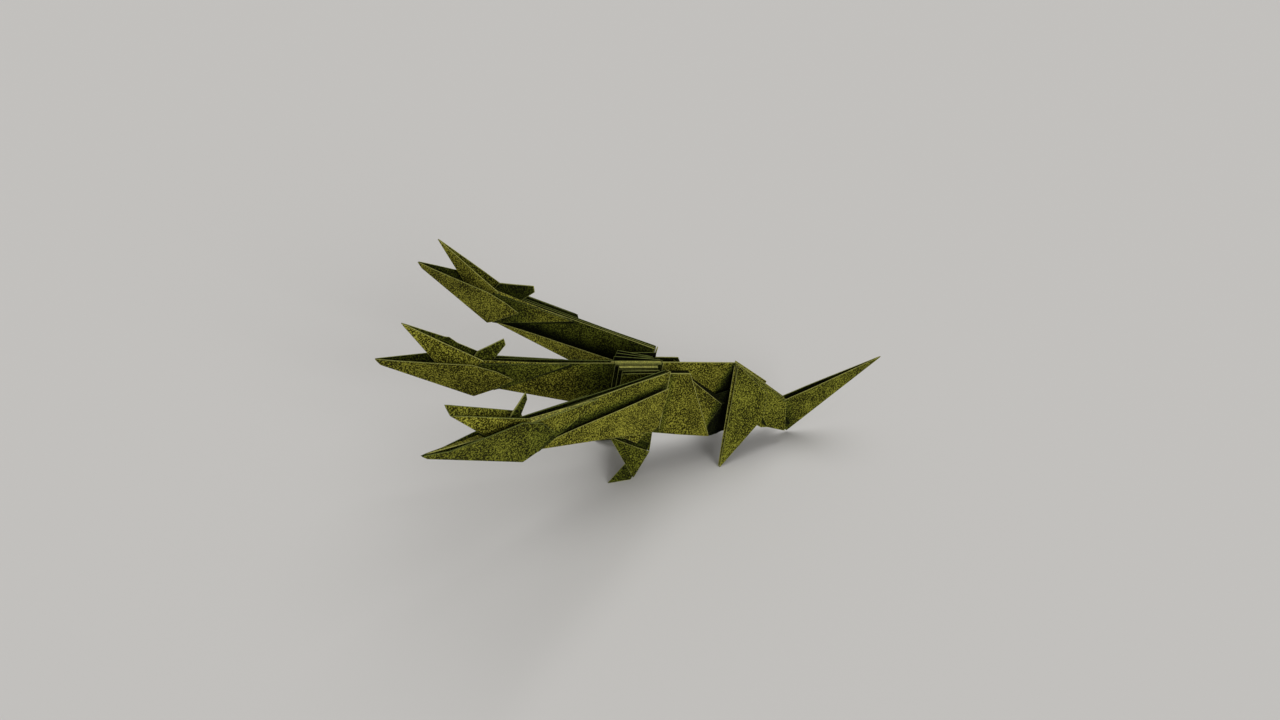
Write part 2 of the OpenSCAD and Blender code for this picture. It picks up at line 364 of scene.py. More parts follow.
    def _bowed(self, panel: Panel, at: np.ndarray, place: np.ndarray, flat: np.ndarray) -> np.ndarray:
        """Moves the points of a facet off its plane, by nothing at its folds and most far from them.

        Args:
            panel: the facet.
            at: its points in its plane.
            place: the same points in 3-D.
            flat: its corners in its plane.

        Returns:
            The moved points.
        """
        normal = self._flat_axes(np.array(panel.corners, float))[2]
        fixed = [i for i in range(len(flat)) if i not in panel.free]
        reach = self.bow_reach * math.sqrt(float(np.ptp(flat, 0).prod()))
        distance = self._edge_distance(at, flat)[:, fixed]
        hold = np.prod(1 - np.exp(-((distance / reach) ** 2)), axis=1) if fixed else np.ones(len(at))
        wave = np.array([noise.noise(Vector(p) / self.ripple_len) for p in place]) * self.ripple
        return place + hold[:, None] * (np.array(panel.bow) + wave[:, None] * normal)

    def _add_one(self, panel: Panel) -> None:
        """Meshes one facet as a thin closed slab with a rounded rim.

        Args:
            panel: the facet.
        """
        ring = np.array(panel.corners, float)
        right, up, _ = self._flat_axes(ring)
        flat = (ring - ring[0]) @ np.stack((right, up), 1)
        edge, weights = self._outline(ring)
        rim = len(edge)
        at = weights @ flat
        inner = self._inside(flat)
        if len(inner):
            weights = np.vstack((weights, self._mean_value_weights(inner, flat)))
            at = np.vstack((at, inner))
        place = self._bowed(panel, at, weights @ ring, flat)
        made = delaunay_2d_cdt([Vector(p) for p in at], [], [list(range(rim))], 1, self.weld)
        source = [ids[0] if ids else -1 for ids in made[3]]
        triangles = np.array([[source[i] for i in f] for f in made[2]], int)
        self._thicken(place, triangles, rim, panel)

    def _thicken(self, place: np.ndarray, triangles: np.ndarray, rim: int, panel: Panel) -> None:
        """Gives a surface its thickness and a half-round rim, and stores the slab.

        Args:
            place: points of the middle surface, its rim first and in order.
            triangles: its triangles.
            rim: how many of the points are on the rim.
            panel: the facet, for its thickness and lift.
        """
        a, b, c = (place[triangles[:, k]] for k in range(3))
        face_normal = np.cross(b - a, c - a)
        normals = np.zeros_like(place)
        for k in range(3):
            np.add.at(normals, triangles[:, k], face_normal)
        normals /= np.maximum(np.linalg.norm(normals, axis=1, keepdims=True), TINY)
        place = place + normals * panel.lift
        half = panel.layers.value / 2
        tangent = np.roll(place[:rim], -1, 0) - np.roll(place[:rim], 1, 0)
        outward = np.cross(tangent, normals[:rim])
        outward /= np.maximum(np.linalg.norm(outward, axis=1, keepdims=True), TINY)
        total = len(place)
        stack = [place + normals * half, place - normals * half]
        for step in range(1, self.rim_steps):
            angle = math.pi / 2 - math.pi * step / self.rim_steps
            stack.append(place[:rim] + half * (outward * math.cos(angle) + normals[:rim] * math.sin(angle)))
        first = self.count
        # The rows of the rim, from the upper side round to the lower side.
        rows = [first] + [first + 2 * total + rim * k for k in range(self.rim_steps - 1)] + [first + total]
        for f in triangles:
            self._store(tuple(first + f), panel.worn)
            self._store(tuple(first + total + f[::-1]), panel.worn)
        for upper, lower in zip(rows, rows[1:]):
            for i in range(rim):
                j = (i + 1) % rim
                self._store((upper + i, lower + i, lower + j, upper + j), 1.0)
        self.points.append(np.vstack(stack))
        # Painted light and shade: the points of the two sides take the facet's tones, the rim points the
        # rim's tone.
        self.tones += self._side_tones(panel, place) + [np.full(rim * (self.rim_steps - 1), panel.rim)]
        self.count += 2 * total + rim * (self.rim_steps - 1)

    def _side_tones(self, panel: Panel, place: np.ndarray) -> list[np.ndarray]:
        """Painted light and shade of the points of a facet, on the side of its normal and on the other side.

        Args:
            panel: the facet.
            place: its points, in 3-D.

        Returns:
            The tones of the two sides.
        """
        # Painted shade: the shown side takes the facet's tone and its changes, the inner side its darker
        # tone.
        shown = np.full(len(place), panel.tone)
        for painted_shade in panel.painted_shades:
            shown = shown * painted_shade.tones(place)
        reverse = np.full(len(place), panel.reverse)
        facing = float(self._flat_axes(np.array(panel.corners, float))[2] @ np.array(panel.inside))
        return [reverse if facing > 0 else shown, reverse if facing < 0 else shown]

    def _store(self, face: tuple[int, ...], worn: float) -> None:
        """Stores one face and its share of the pale edge colour, 1 on a rim: rubbed paper and painted
        highlight.
        """
        self.faces.append(face)
        self.worn.append(worn)

    def build(self, name: str) -> bpy.types.Object:
        """Makes the object.

        Args:
            name: the name of the piece.

        Returns:
            The paper as one mesh object, in metres, in the part's own frame.
        """
        points = (np.vstack(self.points) - point(PLAN.centre_x, 0, 0)) * MM
        # The rounded rims of the feet stay on the floor.
        points[:, 2] = np.maximum(points[:, 2], 0.0)
        mesh = bpy.data.meshes.new(name)
        mesh.from_pydata(points.tolist(), [], self.faces)
        mesh.polygons.foreach_set("use_smooth", [True] * len(self.faces))
        # Painted light and shade go to the mesh as a tone for each point; the pale edge mix goes as a share
        # for each face.
        worn = np.array(self.worn, np.float32)
        mesh.attributes.new("worn", "FLOAT", "FACE").data.foreach_set("value", worn)
        tones = np.concatenate(self.tones).astype(np.float32)
        mesh.attributes.new("tone", "FLOAT", "POINT").data.foreach_set("value", tones)
        # An edge between a rim and a flat side is sharp, so that light doesn't blend across it.
        rim_of_edge: dict[tuple[int, int], set[bool]] = {}
        for polygon, wear_and_light in zip(mesh.polygons, self.worn):
            for key in polygon.edge_keys:
                rim_of_edge.setdefault(key, set()).add(wear_and_light == 1.0)
        sharp = [len(rim_of_edge.get(tuple(sorted(e.vertices)), ())) > 1 for e in mesh.edges]
        mesh.attributes.new("sharp_edge", "BOOLEAN", "EDGE").data.foreach_set("value", sharp)
        piece = bpy.data.objects.new(name, mesh)
        bpy.context.scene.collection.objects.link(piece)
        return piece


@dataclass(frozen=True)
class NeckFade:
    """Painted shade and painted light on a neck's side: a soft change of tone between two places given as u
    along it and v up.
    """

    start: tuple[float, float]
    end: tuple[float, float]
    at_start: float
    at_end: float = 1.0


@dataclass(frozen=True)
class Horn:
    """Sizes of the flap that stands up behind a head, in mm and degrees."""

    length: float
    rise: float
    ahead: float
    rear_slope: float
    # Painted shade: how dark the flap looks, below 1 where it lies in shadow.
    tone: float
    foot_h: float = 2.5
    front_ahead: float = 1.6
    front_drop: float = 3.0
    end_cut: float = 1.5
    end_lean: float = 0.4
    depth: float = 5.5
    aside: float = -0.1
    bow: float = 0.15

    def panels(self, neck: "Neck") -> list[Panel]:
        """The flap with its square end, in the gap between the neck's layers.

        Args:
            neck: the neck that carries the head.

        Returns:
            The flap, as one facet.
        """
        rise = math.radians(self.rise)
        foot = (PLAN.neck_len + self.ahead, self.foot_h)
        tip = (foot[0] - self.length * math.cos(rise), foot[1] + self.length * math.sin(rise))
        low = (tip[0] - self.end_lean, tip[1] - self.end_cut)
        base = (low[0] + self.rear_slope * self.depth, low[1] - self.depth)
        front = (foot[0] + self.front_ahead, foot[1] - self.front_drop)
        ring = [neck.at(u, self.aside, v) for u, v in (foot, tip, low, base, front)]
        return [Panel(ring, Layers.DOUBLE, bow=neck.side(1, self.bow), free=(0, 1, 2), tone=self.tone)]


@dataclass(frozen=True)
class Jaws:
    """Sizes of one head's jaws, in mm and degrees, counted from the corner of the mouth.

    The lips of a side say how much higher than usual its free edge is at the front, the middle and the cheek.
    """

    chin_ahead: float
    chin_drop: float
    nape_ahead: float
    nape_drop: float
    hinge_back: float
    hinge_drop: float
    lip_drop: float = 0.0
    bump: float = 0.0
    half: float = 2.1
    tip_half: float = 0.16
    tip_fold_half: float = 0.04
    snout_half: float = 0.1
    blunt_half: float = 0.05
    fold_half: float = 0.06
    nape_half: float = 1.1
    tip_cut: float = 1.12
    tip_v: float = 0.3
    reach: float = 0.0
    snout_len: float = 20.2
    gape: float = 26.6
    keel_ahead: float = 7.7
    keel_drop: float = 3.4
    front_share: float = 0.22
    front_h: float = 0.45
    lip_share: float = 0.45
    lip_h: float = 0.75
    cheek_share: float = 0.1
    cheek_h: float = 0.2
    lips_left: tuple[float, float, float] = (0.0, 0.0, 0.0)
    lips_right: tuple[float, float, float] = (0.0, 0.0, 0.0)
    gusset_half: float = 1.05
    gusset_up: float = 0.05
    lower_bow: float = 0.3
    upper_bow: float = 0.15
    # Painted shade and light: the inner sides of the trough and the mouth, the rear of the lower jaw, the
    # walls, the snout and the edges take these tones, darker in shadow and lighter where lit.
    trough_painted_shade: float = 0.32
    mouth_painted_shade: float = 0.235
    rear_painted_shade: float = 1.0
    tone: float = 1.1
    snout_painted_light: float = 1.1
    rim: float = 0.9
    snout_rim: float = 1.0

    def lower(self, neck: "Neck", s: int) -> Panel:
        """One wall of the lower jaw: a single sheet with a curved free top edge and a loose rear corner.

        Args:
            neck: the neck that carries the head.
            s: 1 for the left side, -1 for the right one.

        Returns:
            The facet.
        """
        mouth, length, half = PLAN.neck_len, PLAN.jaw_len, self.half
        tip_u = mouth + length + self.reach
        front_lip, lip, cheek = self.lips_left if s > 0 else self.lips_right
        top = [
            (tip_u, self.tip_half, self.tip_v),
            (tip_u - self.front_share * length, 0.5 * half, self.front_h + front_lip),
            (mouth + self.lip_share * length, half, self.lip_h + lip),
            (mouth + self.cheek_share * length, 0.95 * half, self.cheek_h + cheek),
            (mouth - 0.45 * self.hinge_back, 0.97 * half, cheek - 0.4 * self.hinge_drop),
            (mouth - self.hinge_back, 0.93 * half, -self.hinge_drop),
        ]
        low = [
            (mouth + self.nape_ahead, self.nape_half, -self.nape_drop),
            (mouth + self.chin_ahead, self.fold_half, -self.chin_drop),
            (tip_u - self.tip_cut, self.tip_fold_half, -self.tip_cut),
        ]
        return Panel(
            [neck.at(u, s * w, v) for u, w, v in top + low],
            bow=neck.side(s, self.lower_bow),
            free=range(len(top)),
            inside=neck.side(s, -1),
            reverse=self.mouth_painted_shade,
            tone=self.tone,
            # Painted shade at the rear of the lower jaw.
            painted_shades=neck.painted_shades(s, [NeckFade((mouth - 5.0, -5.0), (mouth + 3.0, -4.0), self.rear_painted_shade)]),
            rim=self.rim,
        )

    def upper(self, neck: "Neck", s: int) -> Panel:
        """One wall of the upper jaw, which stands in the lower one as a narrow trough.

        Args:
            neck: the neck that carries the head.
            s: 1 for the left side, -1 for the right one.

        Returns:
            The facet.
        """
        gape, mouth = math.radians(self.gape), PLAN.neck_len
        sharp_u, sharp_v = mouth + self.snout_len * math.cos(gape), self.snout_len * math.sin(gape)
        blunt_u, blunt_v = sharp_u - 0.5 * self.lip_drop, sharp_v - self.lip_drop
        rim = [(blunt_u, self.snout_half, blunt_v) if s > 0 else (sharp_u, self.snout_half, sharp_v)]
        if s < 0 and self.bump:
            # Places along the free edge, and how far it stands over a straight line there.
            bend = ((8.2, 1.0), (7.2, 1.0 + self.bump), (5.4, 1.0))
            rim += [(mouth + u, 1.2, math.tan(gape) * u + over) for u, over in bend]
        rim += [(mouth - 0.2, 0.78 * self.half, 1.1)]
        low = [
            (mouth - 1.2, 0.6 * self.half, -1.5),
            (mouth - 3.0, 0.8, -4.5),
            (mouth + self.keel_ahead, self.fold_half, -self.keel_drop),
        ]
        if s < 0 and self.lip_drop:
            low += [(blunt_u, self.blunt_half, blunt_v)]
        return Panel(
            [neck.at(u, s * w, v) for u, w, v in rim + low],
            bow=neck.side(s, self.upper_bow),
            free=range(len(rim)),
            inside=neck.side(s, -1),
            reverse=self.trough_painted_shade,
            tone=self.snout_painted_light,
            rim=self.snout_rim,
        )

    def gusset(self, neck: "Neck") -> Panel:
        """The fold under the head that closes the jaw from the chin to the nape.

        Args:
            neck: the neck that carries the head.

        Returns:
            The facet.
        """
        chin = neck.at(PLAN.neck_len + self.chin_ahead, 0, 2 * self.gusset_up - self.chin_drop)
        left, right = (neck.nape(s * self.gusset_half, up=self.gusset_up) for s in (1, -1))
        return Panel([chin, left, right], inside=(0, 0, 1))

    def lining(self, neck: "Neck") -> list[Panel]:
        """The layer folded inside the lower jaw, where it shows; both its sides keep the plain tone, without
        the painted shade of the inner sides.

        Args:
            neck: the neck that carries the head.

        Returns:
            The facet, or none for a head with a sharp snout.
        """
        if not self.lip_drop:
            return []
        mouth = PLAN.neck_len
        tip = neck.at(mouth + PLAN.jaw_len - 1.0, 0.0, -0.1)
        left, right = neck.at(mouth + 10.5, 1.2, 0.0), neck.at(mouth + 10.0, -1.1, -0.75)
        return [Panel([tip, left, right])]


@dataclass(frozen=True)
class PocketShape:
    """Where the loose top edge of a neck's pocket runs, from its root to its front, in mm."""

    root_u: float
    root_v: float
    root_open: float
    front_v: float
    front_open: float
    bow: float


class Pocket(Enum):
    """How the pocket low on a neck's side stands."""

    TIGHT = PocketShape(root_u=2.1, root_v=-3.0, root_open=0.3, front_v=-6.1, front_open=0.3, bow=1.5)
    OPEN = PocketShape(root_u=1.4, root_v=-4.4, root_open=3.2, front_v=-7.8, front_open=0.896, bow=0.7)


@dataclass(frozen=True)
class Neck:
    """One neck with its head; u runs along its top edge, w to the animal's left and v up."""

    name: str
    root: np.ndarray
    turn: float
    rise: float
    jaws: Jaws
    horn: Horn
    wrap_len: float
    left_pocket: Pocket | None = None
    right_pocket: Pocket | None = None
    # Painted light and shade: the rim tones, the shades and the tones among these settings darken parts of
    # the neck that lie in shadow and lighten parts that are lit.
    gap_root: float = 0.28
    gap_head: float = 0.8
    layer_gap: float = 0.4
    end_gap: float = 0.5
    inner_fold: float = 0.08
    inner_up: float = 0.4
    inner_sink: float = 0.9
    inner_bow: float = -0.12
    inner_rim: float = 0.3
    outer_fold: float = 0.2
    outer_bow: float = -0.3
    wall_painted_shades: tuple[NeckFade, ...] = ()
    wrap_painted_shades: tuple[NeckFade, ...] = ()
    wrap_gap: float = 1.15
    wrap_bow: float = 0.3
    wrap_rim: float = 0.08
    back_rim: float = 0.4
    back_sink: float = 0.0
    back_end_sink: float = 0.0
    strip: float = 0.8
    strip_h: float = 0.9
    strip_lean: float = 0.75
    strip_painted_light: float = 1.15
    strip_painted_highlight: float = 0.3
    gap_painted_shade: float = 0.1
    pocket_u: float = 3.4
    pocket_back: float = 1.0
    tight_pocket_painted_light: float = 1.05
    open_pocket_painted_light: float = 1.0

    def at(self, u: float, w: float, v: float) -> np.ndarray:
        """The point u along, w to the left of and v above the neck's top edge.

        Args:
            u: place along the edge, in mm.
            w: distance to the left.
            v: height above the edge.

        Returns:
            The point, with the neck roots at x = 0 and the floor at z = 0.
        """
        t, r = math.radians(self.turn), math.radians(self.rise)
        x = u * math.cos(r) - v * math.sin(r)
        z = u * math.sin(r) + v * math.cos(r)
        return self.root + point(x * math.cos(t) - w * math.sin(t), x * math.sin(t) + w * math.cos(t), z)

    def side(self, s: int, bow: float) -> tuple[float, float, float]:
        """A bow of that many mm to the left for s 1 or to the right for s -1."""
        t = math.radians(self.turn)
        return (-math.sin(t) * s * bow, math.cos(t) * s * bow, 0.0)

    def nape(self, w: float, back: float = 0.0, up: float = 0.0) -> np.ndarray:
        """The nape at w to the left, or the point that far behind and above it."""
        return self.at(PLAN.neck_len + self.jaws.nape_ahead - back, w, up - self.jaws.nape_drop)

    def half_w(self, u: float) -> float:
        """Half width of the neck's inner layers at their top edge."""
        return self.gap_root + (self.gap_head - self.gap_root) * u / PLAN.neck_len

    def painted_shades(self, s: int, table: Sequence[NeckFade]) -> list[Fade]:
        """The painted shade and light of one side, set in 3-D.

        Args:
            s: 1 for the left side, -1 for the right one.
            table: the painted shade and light, by places on the neck.

        Returns:
            The same painted shade and light, by points in 3-D.
        """
        w = s * self.gap_head
        ends = [[self.at(u, w, v) for u, v in (painted_shade.start, painted_shade.end)] for painted_shade in table]
        return [Fade(*pair, painted_shade.at_start, painted_shade.at_end) for pair, painted_shade in zip(ends, table)]

    def walls(self, s: int) -> list[Panel]:
        """Two nested layers of one side, folded at the bottom and open at the top.

        Args:
            s: 1 for the left side, -1 for the right one.

        Returns:
            The inner and the outer layer.
        """
        low, length, end = PLAN.neck_under(0), PLAN.neck_len, self.end_gap
        root_w, head_w = self.half_w(0), self.half_w(length)
        inner = [
            self.at(end, s * self.inner_fold, low + self.inner_up),
            self.at(end, s * root_w, -0.5 * self.inner_sink),
            self.at(length - end, s * head_w, -self.inner_sink),
            self.nape(s * self.inner_fold, up=self.inner_up),
        ]
        outer = [
            self.at(end, s * self.outer_fold, low),
            self.at(end, s * (root_w + self.layer_gap), 0),
            self.at(length, s * (head_w + self.layer_gap), 0),
            self.nape(s * self.outer_fold, up=-0.1),
        ]
        # Painted shade: the right side's edges are darker, and the outer layer takes the painted shade set
        # for its side.
        rim = 1.0 if s > 0 else self.back_rim
        painted_shades, inside = self.painted_shades(s, self.wall_painted_shades), self.side(s, -1)
        return [
            Panel(inner, bow=self.side(s, self.inner_bow), free=(1,), inside=inside, rim=self.inner_rim),
            Panel(outer, bow=self.side(s, self.outer_bow), free=(1,), inside=inside, painted_shades=painted_shades, rim=rim),
        ]

    def wrap(self, s: int) -> list[Panel]:
        """The outer layer behind the head: a diagonal rear edge and a strip along the top that leans in.

        Args:
            s: 1 for the left side, -1 for the right one.

        Returns:
            A dark sheet of painted shade in the gap behind the rear edge, the strip and the side.
        """
        length, end_u = PLAN.neck_len, PLAN.neck_len - self.wrap_len
        head_w, end_w = self.half_w(length) + self.wrap_gap, self.half_w(end_u)
        rim, sink, end_sink = 1.0, 0.0, 0.0
        if s < 0:
            rim, sink, end_sink = self.back_rim, self.back_sink, self.back_sink + self.back_end_sink
        nape = self.nape(s * 0.95, back=0.1, up=-0.2)
        end = self.at(end_u, s * (end_w + self.wrap_gap), 0.3 - end_sink)
        front = self.at(length + 0.6, s * (head_w - self.strip_lean), self.strip_h - sink)
        crease = self.at(length + 0.4, s * head_w, self.strip_h - self.strip - sink)
        low_front = self.at(length + 0.2, s * 1.0, -4.5)
        wall_end = self.at(end_u - 0.7, s * (end_w + self.layer_gap + 0.12), -0.5)
        wall_nape = self.nape(s * 0.35, back=1.6, up=-0.25)
        side, strip = [nape, end, crease, low_front], [end, front, crease]
        gap = [nape, end, wall_end, wall_nape]
        bow, inside, painted_shades = self.side(s, self.wrap_bow), self.side(s, -1), self.painted_shades(s, self.wrap_painted_shades)
        # Painted highlight: the lit strip is lighter and partly takes the pale edge colour; the side's edges
        # take painted shade.
        wear_and_light = {"tone": self.strip_painted_light, "worn": self.strip_painted_highlight}
        return [
            Panel(gap, tone=self.gap_painted_shade, rim=self.gap_painted_shade),
            Panel(strip, free=(0,), inside=inside, rim=rim, **wear_and_light),
            Panel(side, Layers.DOUBLE, bow, free=(0,), inside=inside, painted_shades=painted_shades, rim=self.wrap_rim),
        ]

    def flap(self, s: int, pocket: Pocket) -> list[Panel]:
        """The pocket low on one side: folded up from the bottom, with a loose top edge.

        Args:
            s: 1 for the left side, -1 for the right one.
            pocket: how it stands.

        Returns:
            The pocket's wall and its sole.
        """
        shape, heel_u, back = pocket.value, self.pocket_u, self.pocket_back
        root_w = self.half_w(0) + 2 * self.layer_gap
        heel = self.at(heel_u, s * 1.0, PLAN.neck_under(heel_u) + 0.1)
        root_low = self.at(1.7, s * 1.1, 1.9 - PLAN.neck_root_d)
        root_top = self.at(shape.root_u, s * (root_w + shape.root_open), shape.root_v)
        front_top = self.at(PLAN.neck_len - 8.0, s * (0.95 + shape.front_open), shape.front_v)
        nape = self.nape(s * 0.65, back=back, up=-0.1)
        fold_heel = self.at(heel_u, s * 0.1, PLAN.neck_under(heel_u))
        fold_root = self.at(1.4, s * 0.1, 1.8 - PLAN.neck_root_d)
        fold_nape = self.nape(s * 0.05, back=back)
        wall = [heel, root_low, root_top, front_top, nape]
        sole = [fold_heel, fold_root, root_low, heel, nape, fold_nape]
        # Painted light: the pocket's wall is lighter where it is lit; the sole's upper side takes the inner
        # sides' painted shade.
        tone = self.open_pocket_painted_light if pocket is Pocket.OPEN else self.tight_pocket_painted_light
        return [
            Panel(wall, bow=self.side(s, shape.bow), free=(0, 1, 2), inside=self.side(s, -1), tone=tone),
            Panel(sole, inside=(0, 0, 1)),
        ]

    def root_end(self) -> list[Panel]:
        """The fold that closes the root end."""
        top_w, low_w, low = self.half_w(0) + self.layer_gap, self.outer_fold, PLAN.neck_under(0)
        return [Panel([self.at(0, w, v) for w, v in ((top_w, 0), (-top_w, 0), (-low_w, low), (low_w, low))])]

    def panels(self) -> list[Panel]:
        """Every facet of the neck and the head.

        Returns:
            The facets.
        """
        made = self.root_end() + self.horn.panels(self) + self.jaws.lining(self) + [self.jaws.gusset(self)]
        for s, pocket in ((1, self.left_pocket), (-1, self.right_pocket)):
            made += self.walls(s) + self.wrap(s) + [self.jaws.lower(self, s), self.jaws.upper(self, s)]
            if pocket is not None:
                made += self.flap(s, pocket)
        return made


@dataclass(frozen=True)
class Body:
    """The back, the pleats and the outer wall of the left side, in mm.

    A fold of the pleats is given by its place along the ridge and its distance from the middle.
    """

    fore: float = 13.0
    wall_drop: float = 0.2
    low_step: float = 0.31
    loop: tuple[tuple[float, float], ...] = ((0.0, 0.1), (0.15, 0.5), (0.6, 0.78))
    loop_depth: float = 6.0
    front_folds: tuple[tuple[float, float], ...] = ((12.2, 0.95), (11.5, 2.15), (10.9, 3.45))
    rear_folds: tuple[tuple[float, float], ...] = ((1.8, 1.95), (1.7, 3.2), (0.3, 4.8))
    front_rise: tuple[float, ...] = (0.0, 0.0, 0.0)
    front_gap: float = 0.12
    rear_gap: float = 0.08
    end_drop: float = 0.25
    last_rise: float = 0.3
    pleat_top: float = 0.28
    pleat_drop: float = 0.35
    back_drop: float = 0.7
    # Painted light and shade: the tones and rim tones from here on darken the pleats, their gaps and the deep
    # layers, and lighten the fold tops, whose pale mix is partly rubbing.
    pleat_painted_shade: float = 0.6
    pleat_inner_painted_shade: float = 0.32
    pleat_rim: float = 0.8
    gap_painted_shade: float = 0.12
    fold_width: tuple[float, ...] = (0.9, 0.6)
    fold_back: tuple[float, ...] = (0.65, 0.3)
    fold_lift: float = 0.1
    fold_slope: float = 0.35
    fold_bow: float = 0.08
    fold_painted_highlight: float = 1.2
    fold_rim: float = 0.12
    fold_wear_and_highlight: float = 0.6
    slot_depth: float = 2.0
    deep_painted_shade: float = 0.05

    def back(self) -> list[Panel]:
        """Left wall of the back, folded along the ridge.

        Returns:
            The facet.
        """
        p, rear, depth = PLAN.on_body, -PLAN.back_len, PLAN.body_depth
        ridge = [p(self.fore, 0.1, 0.05), p(rear, 0.1, 0.05)]
        low_rear, belly = p(rear, 0.55, 2.2 - depth), p(-14.0, 0.6, 0.6 - depth)
        low_front = p(self.fore, 0.5, PLAN.neck_under(self.fore) - 0.2)
        # Painted shadow of the hind leg on the back, darkest toward the rear.
        shade = Fade(p(rear + 1.8, 0, -5.3), p(rear + 3.5, 0, -4.7), self.deep_painted_shade)
        return [Panel([*ridge, low_rear, belly, low_front], bow=(0, 0.1, 0), painted_shades=[shade])]

    def pleat(self, a: Sequence[float], b: Sequence[float], low: float, tone: float) -> Panel:
        """One wall of a pleat.

        Args:
            a: one fold: place along the ridge, distance from the middle and height of its top.
            b: the other fold.
            low: height of the bottom edge.
            tone: painted light and shade of its outer side; its inner side is darker by a fixed share.

        Returns:
            The facet.
        """
        p, reverse = PLAN.on_body, self.pleat_inner_painted_shade * tone
        ring = [p(*a), p(*b), p(b[0], b[1], low), p(a[0], a[1], low)]
        return Panel(ring, free=(0, 2), inside=(0, -1, 0), reverse=reverse, tone=tone, rim=self.pleat_rim)

    def fold(self, rear: Sequence[float], front: Sequence[float], top: float, width: float) -> Panel:
        """The rounded top of a pleat, which leans outward and catches the light, lightened further with
        painted highlight and rubbing.

        Args:
            rear: place along the ridge and distance from the middle of its rear end.
            front: the same of its front end.
            top: height of its inner edge.
            width: how far it leans out.

        Returns:
            The facet.
        """
        p, low = PLAN.on_body, top - self.fold_slope * width
        ring = [p(*rear, top), p(*front, top)] + [p(u, w + width, low) for u, w in (front, rear)]
        # Painted highlight and rubbing: the fold top is lighter and partly takes the pale edge colour.
        wear_and_light = {"tone": self.fold_painted_highlight, "rim": self.fold_rim, "worn": self.fold_wear_and_highlight}
        return Panel(ring, bow=(0, 0, self.fold_bow), inside=(0, 0, -1), **wear_and_light)

    def pleats(self) -> list[Panel]:
        """Accordion pleats: each goes forward beside the ridge and comes back a little further out.

        Returns:
            The facets, from the ridge outward.
        """
        top, last = self.pleat_top, len(self.front_folds) - 1
        loop = [((*a, top), (*b, top)) for a, b in zip(self.loop, self.loop[1:])]
        made = [self.pleat(a, b, -self.loop_depth, self.gap_painted_shade) for a, b in loop]
        rear = self.loop[-1]
        for i, (front, back) in enumerate(zip(self.front_folds, self.rear_folds)):
            top = self.pleat_top - self.pleat_drop * i
            low = self.low_step * 2 * i - PLAN.neck_root_d
            ahead = top + self.front_rise[i]
            made.append(self.pleat((*rear, top), (*front, ahead), low, self.gap_painted_shade))
            turned = (front[0], front[1] + self.front_gap, ahead - self.back_drop)
            end = top + self.last_rise if i == last else top - self.end_drop
            # Painted shade: the last pleat takes its own tone, the ones in the gaps a darker one.
            tone = self.pleat_painted_shade if i == last else self.gap_painted_shade
            made.append(self.pleat(turned, (*back, end), low + self.low_step, tone))
            if i < len(self.fold_width):
                fold_rear, fold_front = ((u, w - self.fold_back[i]) for u, w in (rear, front))
                made.append(self.fold(fold_rear, fold_front, top + self.fold_lift, self.fold_width[i]))
            rear = (back[0], back[1] + self.rear_gap)
        return made

    def outer_wall(self) -> list[Panel]:
        """The outer wall, the corner that is folded in behind it and dark layers of painted shade inside.

        Returns:
            The wall, the tucked corner and the dark layers of painted shade.
        """
        p, half, depth = PLAN.on_body, PLAN.body_half, PLAN.body_depth
        top, rear = -self.wall_drop, -PLAN.back_len - 0.8
        corner, crease_low = p(-16.9, half - 1.2, -10.4), p(-14.1, half - 0.6, -16.8)
        pocket, pocket_low = p(-18.9, half - 1.2, -18.4), p(-17.6, half - 0.9, -0.5 - depth)
        low_rear = p(-14.7, half, -0.1 - depth)
        wall = [p(0.9, half, top), p(-5.75, half, top), low_rear, p(1.2, half, 1.6 - depth)]
        # Painted shadow on the front of the outer wall, beside the end of the neck's pocket.
        wall_painted_shade = Fade(p(-0.6, half, -5), p(-2.8, half, -5), 0.5)
        tucked = [p(-4.6, half, top - 0.5), corner, crease_low, p(-14.3, half, 0.1 - depth)]
        tucked = [q + point(0, -0.33, 0) for q in tucked]
        outer_edge = along(corner, crease_low, 0.45)
        # Painted shade on the tucked corner, darker toward the pocket behind it.
        tucked_painted_shade = Fade(outer_edge, outer_edge + point(2.4, 0, 1.1), 0.15)
        # Dark sheets of painted shade, put where there is only shade: the sunk layer, the roof, the back and
        # the floor of the pocket, and the slot above the outer wall's top edge.
        sunk = [q + point(0.1, -1.3, 0) for q in (corner, pocket, pocket_low)]
        sunk += [low_rear + point(0.25, -0.3, 0), crease_low + point(0.5, -0.45, 0)]
        roof_rear = [corner + point(0.3, -0.8, -0.2), p(-PLAN.back_len, 2.0, -11.0)]
        roof = [p(-5.4, half - 0.8, -1.7), *roof_rear, p(-5.4, 0.2, -2.6)]
        back_rear = [p(rear, 1.2, -7.0), p(rear - 0.5, 1.8, -19.8)]
        pocket_back = [p(-14.0, 2.4, -8.5), *back_rear, p(-14.5, 3.0, -0.6 - depth)]
        floor_inner = [p(-14.5, 2.6, 0.4 - depth), p(rear - 0.4, 1.6, -19.4)]
        pocket_floor = [pocket_low + point(0, -0.6, 0), low_rear, *floor_inner]
        slot_ring = ((3.0, half - 0.4), (-7.0, half - 0.5), (-7.0, 0.2), (3.0, 0.2))
        slot = [p(u, w, top - self.slot_depth) for u, w in slot_ring]
        deep = [(sunk, (0, 1, 0)), (roof, (0, 1, 1)), (pocket_back, (0, 1, 0))]
        deep += [(pocket_floor, (0, 0, 1)), (slot, (0, 0, 1))]
        dark = {"reverse": self.deep_painted_shade, "rim": self.deep_painted_shade}
        return [
            Panel(wall, Layers.DOUBLE, (0, 0.15, 0), free=(0, 2), inside=(0, -1, 0), painted_shades=[wall_painted_shade]),
            Panel(tucked, bow=(0, 0.08, 0), free=(0, 1, 2, 3), inside=(0, -1, 0), painted_shades=[tucked_painted_shade]),
            *(Panel(ring, inside=inside, **dark) for ring, inside in deep),
        ]


